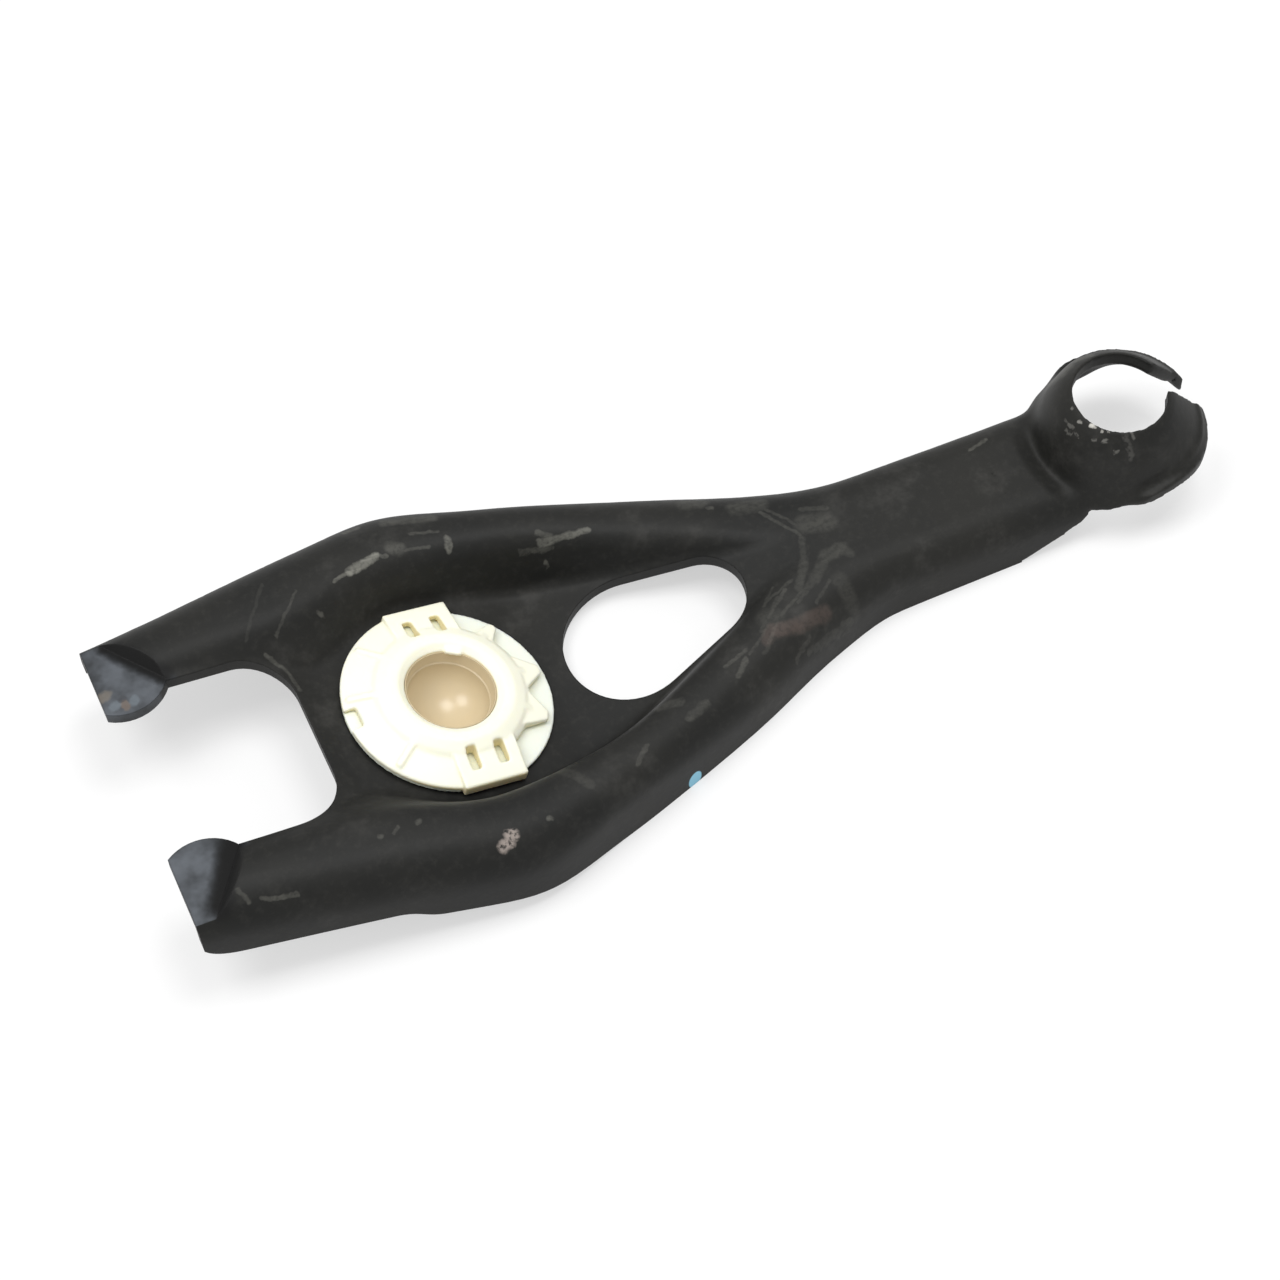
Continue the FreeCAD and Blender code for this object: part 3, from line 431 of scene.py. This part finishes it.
def plastic(name, colour, recess_shade, **constants):
    """Moulded plastic with painted shade: darker and warmer in its recesses, where ambient
    occlusion finds them.
    """
    f = Finish(name, **constants)
    inputs = {"Color": (1, 1, 1, 1), "Distance": 5.0 * MM}
    # Painted shade: ambient occlusion mixes in the darker recess colour.
    open_sky = f.node("ShaderNodeAmbientOcclusion", {"samples": 6}, inputs, "AO")
    hidden = open_sky.ramp(0.92, 0.45) + (f.noise(60.0) - 0.5) * 0.12
    f.feed(Base_Color=f.mix(hidden.clamp(), colour, recess_shade))
    f.bump(f.noise(900.0, 2.0), 0.08, 0.1 * MM, 0.35 * MM)
    return f.material


# ------------------------------------------------------------------ mesh helpers
def ease(value, low, high):
    """Smooth step from 0 at low to 1 at high."""
    f = min(max((value - low) / (high - low), 0.0), 1.0)
    return f * f * (3 - 2 * f)


def merged_copy(node):
    """A bmesh of a CAD node with its loose triangles joined up."""
    shell = bmesh.new()
    shell.from_mesh(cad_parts[node].data)
    bmesh.ops.remove_doubles(shell, verts=shell.verts, dist=0.004 * MM)
    return shell


def plain_object(shell, name):
    """Puts a bmesh, which it uses up, in an object of its own."""
    mesh = bpy.data.meshes.new(name)
    shell.to_mesh(mesh)
    shell.free()
    holder = bpy.data.objects.new(name, mesh)
    bpy.context.scene.collection.objects.link(holder)
    return holder


def drop(holder):
    mesh = holder.data
    bpy.data.objects.remove(holder)
    bpy.data.meshes.remove(mesh)


def after_modifier(shell, kind, **settings):
    """The bmesh that a modifier makes of a shell, which it uses up."""
    holder = plain_object(shell, "before")
    modifier = holder.modifiers.new("step", kind)
    for name, value in settings.items():
        setattr(modifier, name, value)
    depsgraph = bpy.context.evaluated_depsgraph_get()
    after = bpy.data.meshes.new_from_object(holder.evaluated_get(depsgraph))
    made = bmesh.new()
    made.from_mesh(after)
    bpy.data.meshes.remove(after)
    drop(holder)
    return made


def voxel_skin(shell, voxel):
    """The same solid as an even skin of small quads, with every edge a little round."""
    return after_modifier(shell, "REMESH", mode="VOXEL", voxel_size=voxel * MM)


def relax(skin, passes, verts=None):
    axes = {"use_axis_x": True, "use_axis_y": True, "use_axis_z": True}
    for _ in range(passes):
        bmesh.ops.smooth_vert(skin, verts=verts or skin.verts, factor=0.5, **axes)


def kept_side(shell, x, beyond):
    """Cuts a shell across at x and keeps one side of it, closed over the cut."""
    bmesh.ops.bisect_plane(
        shell,
        geom=shell.verts[:] + shell.edges[:] + shell.faces[:],
        plane_co=(x * MM, 0, 0),
        plane_no=(1, 0, 0),
        clear_inner=beyond,
        clear_outer=not beyond,
    )
    cut = [edge for edge in shell.edges if edge.is_boundary]
    bmesh.ops.holes_fill(shell, edges=cut, sides=0)
    bmesh.ops.triangulate(shell, faces=[face for face in shell.faces if len(face.verts) > 4])
    return shell


def finished_piece(skin, piece_name, node, material, crease_deg=60.0):
    """Puts a bmesh in the scene in place of a CAD node."""
    limit = math.radians(crease_deg)
    for face in skin.faces:
        face.smooth = True
        face.material_index = 0
    for edge in skin.edges:
        edge.smooth = len(edge.link_faces) == 2 and edge.calc_face_angle(0.0) < limit
    piece = plain_object(skin, piece_name)
    piece.data.materials.append(material)
    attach(piece, "root")
    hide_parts(node)


# ------------------------------------------------------------------ the fork
def trim_skirts(shell):
    """Cuts the beam's skirts away in a straight rise towards the brim."""
    block = bmesh.new()
    bmesh.ops.create_cube(block, size=1.0)
    for vert in block.verts:
        far, side, top = (part > 0 for part in vert.co)
        x, line_height = SKIRT_CUT_TO if far else SKIRT_CUT_FROM
        y = BLOCK_HALF_WIDTH if side else -BLOCK_HALF_WIDTH
        vert.co = Vector((x, y, line_height if top else BLOCK_BOTTOM)) * MM
    knife = plain_object(block, "knife")
    trimmed = after_modifier(shell, "BOOLEAN", operation="DIFFERENCE", object=knife)
    drop(knife)
    return trimmed


def reshape_seat(shell):
    """Runs the half ball's far side straight out to its rim, with no ledge."""
    turn_off = math.asin(SLOPE_START[0] / SEAT_RADIUS)
    fall = math.radians(SLOPE_DEG)
    down = Vector((math.cos(fall), -math.sin(fall)))
    out = Vector((math.sin(fall), math.cos(fall)))
    for vert in shell.verts:
        x, y, z = vert.co.x / MM - EYE_X, vert.co.y / MM, vert.co.z / MM
        reach = math.hypot(x, y)
        if x <= 0 or reach < EYE_RADIUS - 1:
            continue
        brim = BRIM_HEIGHT + BRIM_SLOPE * x
        joint = math.sqrt(SEAT_RADIUS**2 - (brim - SEAT_HEIGHT) ** 2)
        foot = SEAT_RADIUS * (math.asin(joint / SEAT_RADIUS) - turn_off)
        over_brim = z - brim
        past_joint = reach - joint - BRIM_LEAN * over_brim
        if past_joint > 0 and over_brim < 1.0:
            run, depth = foot + past_joint, over_brim
        else:
            lean = math.atan2(reach, z - SEAT_HEIGHT)
            run = SEAT_RADIUS * (lean - turn_off)
            depth = math.hypot(reach, z - SEAT_HEIGHT) - SEAT_RADIUS
        if run <= 0:
            continue
        share = run / (foot + RIM_RADIUS - joint)
        spot = Vector(SLOPE_START) + down * (share * SLOPE_LENGTH) + out * depth
        weight = ease(x / reach, 0.05, 0.85)
        new_reach = reach + (spot.x - reach) * weight
        vert.co.x = (EYE_X + x * new_reach / reach) * MM
        vert.co.y = y * new_reach / reach * MM
        vert.co.z = (z + (spot.y - z) * weight) * MM


def blend_seat_into_beam(shell):
    """Draws the half ball, its brim and the beam into one soft saddle."""
    weights = {}
    for vert in shell.verts:
        x, y, z = vert.co.x / MM - EYE_X, vert.co.y / MM, vert.co.z / MM
        reach = max(math.hypot(x, y), 0.001)
        beam_side = ease(-x / reach, 0.10, 0.45)
        between = ease(reach, 12.5, 16.0) * ease(reach, 24.0, 20.0)
        skirt_edge = ease(abs(y), 12.0, 15.0) * ease(z, 12.0, 9.0)
        weight = beam_side * between * (1 - skirt_edge)
        if weight > 0:
            weights[vert] = weight
    for step in range(SADDLE_PASSES):
        limit = step / SADDLE_PASSES
        relax(shell, 1, [vert for vert, weight in weights.items() if weight > limit])


def eye_end():
    """The eye end in a fine even skin, with its seat pressed straight on the far side."""
    shell = kept_side(merged_copy("fork"), SEAM_X - 8, beyond=True)
    skin = voxel_skin(trim_skirts(shell), EYE_END_VOXEL)
    relax(skin, 3)
    reshape_seat(skin)
    blend_seat_into_beam(skin)
    return kept_side(skin, SEAM_X - SEAM_OVERLAP, beyond=True)


def whole_fork():
    fork = kept_side(merged_copy("fork"), SEAM_X, beyond=False)
    holder = plain_object(eye_end(), "eye_end")
    fork.from_mesh(holder.data)
    drop(holder)
    return fork


# ------------------------------------------------------------------ the ball socket
def tidy_fins(shell):
    """Shortens the cage's fins and gives each a gusset down from the collar."""
    inward = SOCKET_FRAME.inverted()
    for degrees, kept_part, half_foot in FINS:
        turn = Matrix.Rotation(math.radians(degrees), 4, "Z")
        to_fin = turn.inverted() @ inward
        for vert in shell.verts:
            spot = to_fin @ vert.co
            if spot.x > FIN_ROOT * MM and abs(spot.y) < FIN_HALF_WIDTH * MM:
                spot.x = (FIN_ROOT + (spot.x / MM - FIN_ROOT) * kept_part) * MM
                vert.co = SOCKET_FRAME @ turn @ spot
        for vert in bmesh.ops.create_cube(shell, size=1.0)["verts"]:
            outer, side, top = (part > 0 for part in vert.co)
            reach, top_height = GUSSET_TOE if outer else GUSSET_FOOT
            half = GUSSET_HALF_TOE if outer else half_foot
            height = top_height if top else GUSSET_BOTTOM
            corner = Vector((reach, half if side else -half, height)) * MM
            vert.co = SOCKET_FRAME @ turn @ corner


def cage():
    shell = merged_copy("socket_cage")
    tidy_fins(shell)
    skin = voxel_skin(shell, CAGE_VOXEL)
    relax(skin, 4)
    return skin


def flange():
    skin = voxel_skin(merged_copy("base_flange"), FLANGE_VOXEL)
    relax(skin, 2)
    return skin


def cup():
    """The bowl that takes the ball stud, with a lip that stands inside the cage's mouth."""
    steps = range(CUP_ARC_STEPS + 1)
    bowl_radius, bowl_height, bowl_depth = BOWL
    back_radius, back_height = CUP_OUTSIDE
    inside = [
        (bowl_radius * math.sin(a), bowl_height - bowl_depth * math.cos(a))
        for a in (math.radians(90 * n / CUP_ARC_STEPS) for n in steps)
    ]
    outside = [
        (back_radius * math.cos(a), back_height - back_radius * math.sin(a))
        for a in (math.radians(3 + 87 * n / CUP_ARC_STEPS) for n in steps)
    ]
    bowl = bmesh.new()
    profile = [bowl.verts.new((r * MM, 0, h * MM)) for r, h in inside + CUP_LIP + outside]
    edges = [bowl.edges.new(pair) for pair in zip(profile, profile[1:])]
    bmesh.ops.spin(
        bowl,
        geom=profile + edges,
        axis=(0, 0, 1),
        cent=(0, 0, 0),
        steps=CUP_TURN_STEPS,
        angle=math.tau,
        use_merge=True,
    )
    bmesh.ops.remove_doubles(bowl, verts=bowl.verts, dist=0.002 * MM)
    bmesh.ops.recalc_face_normals(bowl, faces=bowl.faces)
    bmesh.ops.transform(bowl, matrix=SOCKET_FRAME, verts=bowl.verts)
    return bowl


paint = black_paint()
# The two pale plastics let light a little way in.
let_in = {
    "Subsurface_Weight": 0.25,
    "Subsurface_Radius": (1.0, 0.85, 0.6),
    "Subsurface_Scale": 2.0 * MM,
}
# Each plastic's second colour is its painted shade in recesses.
cream = plastic("cream_plastic", (0.94, 0.93, 0.77), (0.90, 0.80, 0.50), Roughness=0.42, **let_in)
white = plastic("white_plastic", (0.88, 0.91, 0.81), (0.80, 0.82, 0.66), Roughness=0.38, **let_in)
tan = plastic("tan_plastic", (0.63, 0.525, 0.345), (0.56, 0.455, 0.285), Roughness=0.26)

finished_piece(whole_fork(), "fork_pressing", "fork", paint, 32.0)
finished_piece(cage(), "cage_moulding", "socket_cage", cream)
finished_piece(flange(), "flange_moulding", "base_flange", white)
finished_piece(cup(), "cup_moulding", "ball_cup", tan, 35.0)


# ------------------------------------------------------------------ floor, light, view
FLOOR_LIFT = 0.55
FLOOR_GREY = (0.90, 0.90, 0.90, 1)
FLOOR_REACH = 3.0
SOFTBOX_WIDTH = 0.55
SOFTBOX_WATTS = 6.5
WORLD_STRENGTH = 0.62
VIEW_FROM = Vector((-0.151494, -0.303308, 0.563632))
VIEW_ALONG = Vector((0.21494, 0.46486, -0.8589))
LENS, SENSOR = 84.375, 36.0


def white_floor():
    """Pale floor that keeps a faint shadow; eyes and reflections see it lifted to white."""
    f = Finish("white_floor", Base_Color=FLOOR_GREY, Roughness=0.9, Specular_IOR_Level=0.0)
    glow = f.tree.nodes.new("ShaderNodeEmission")
    seen = [
        f.node("ShaderNodeLightPath", {}, [], way)
        for way in ("Is Camera Ray", "Is Glossy Ray", "Is Transmission Ray")
    ]
    lifted = (seen[0] + seen[1] + seen[2]).clamp() * FLOOR_LIFT
    blend = f.tree.nodes.new("ShaderNodeMixShader")
    sources = (lifted.socket, f.shader.outputs[0], glow.outputs[0])
    for source, socket in zip(sources, blend.inputs):
        f.tree.links.new(source, socket)
    f.tree.links.new(blend.outputs[0], f.output.inputs[0])
    return f.material


def floor():
    sheet = bmesh.new()
    bmesh.ops.create_grid(sheet, x_segments=1, y_segments=1, size=FLOOR_REACH)
    slab = plain_object(sheet, "floor")
    slab.data.materials.append(white_floor())


def aimed(holder, place, way):
    """Puts a lamp or camera at a place, facing along a direction."""
    holder.location = place
    holder.rotation_euler = Vector(way).to_track_quat("-Z", "Y").to_euler()
    bpy.context.scene.collection.objects.link(holder)


def softbox(name, place):
    """A square lamp that faces the fork's middle."""
    lamp = bpy.data.lights.new(name, "AREA")
    lamp.shape = "SQUARE"
    lamp.size = SOFTBOX_WIDTH
    lamp.energy = SOFTBOX_WATTS
    aimed(bpy.data.objects.new(name, lamp), place, -Vector(place))


floor()
softbox("softbox_left", (-0.50, 0.20, 1.2))
softbox("softbox_right", (0.30, 0.12, 1.25))

world = bpy.data.worlds.new("studio")
bpy.context.scene.world = world
world.use_nodes = True
sky = world.node_tree.nodes["Background"]
sky.inputs["Color"].default_value = (1, 1, 1, 1)
sky.inputs["Strength"].default_value = WORLD_STRENGTH

eye = bpy.data.cameras.new("view")
eye.sensor_width = SENSOR
eye.lens = LENS
eye.clip_start = 0.01
viewer = bpy.data.objects.new("view", eye)
aimed(viewer, VIEW_FROM, VIEW_ALONG)
bpy.context.scene.camera = viewer
bpy.context.scene.view_settings.view_transform = "Standard"
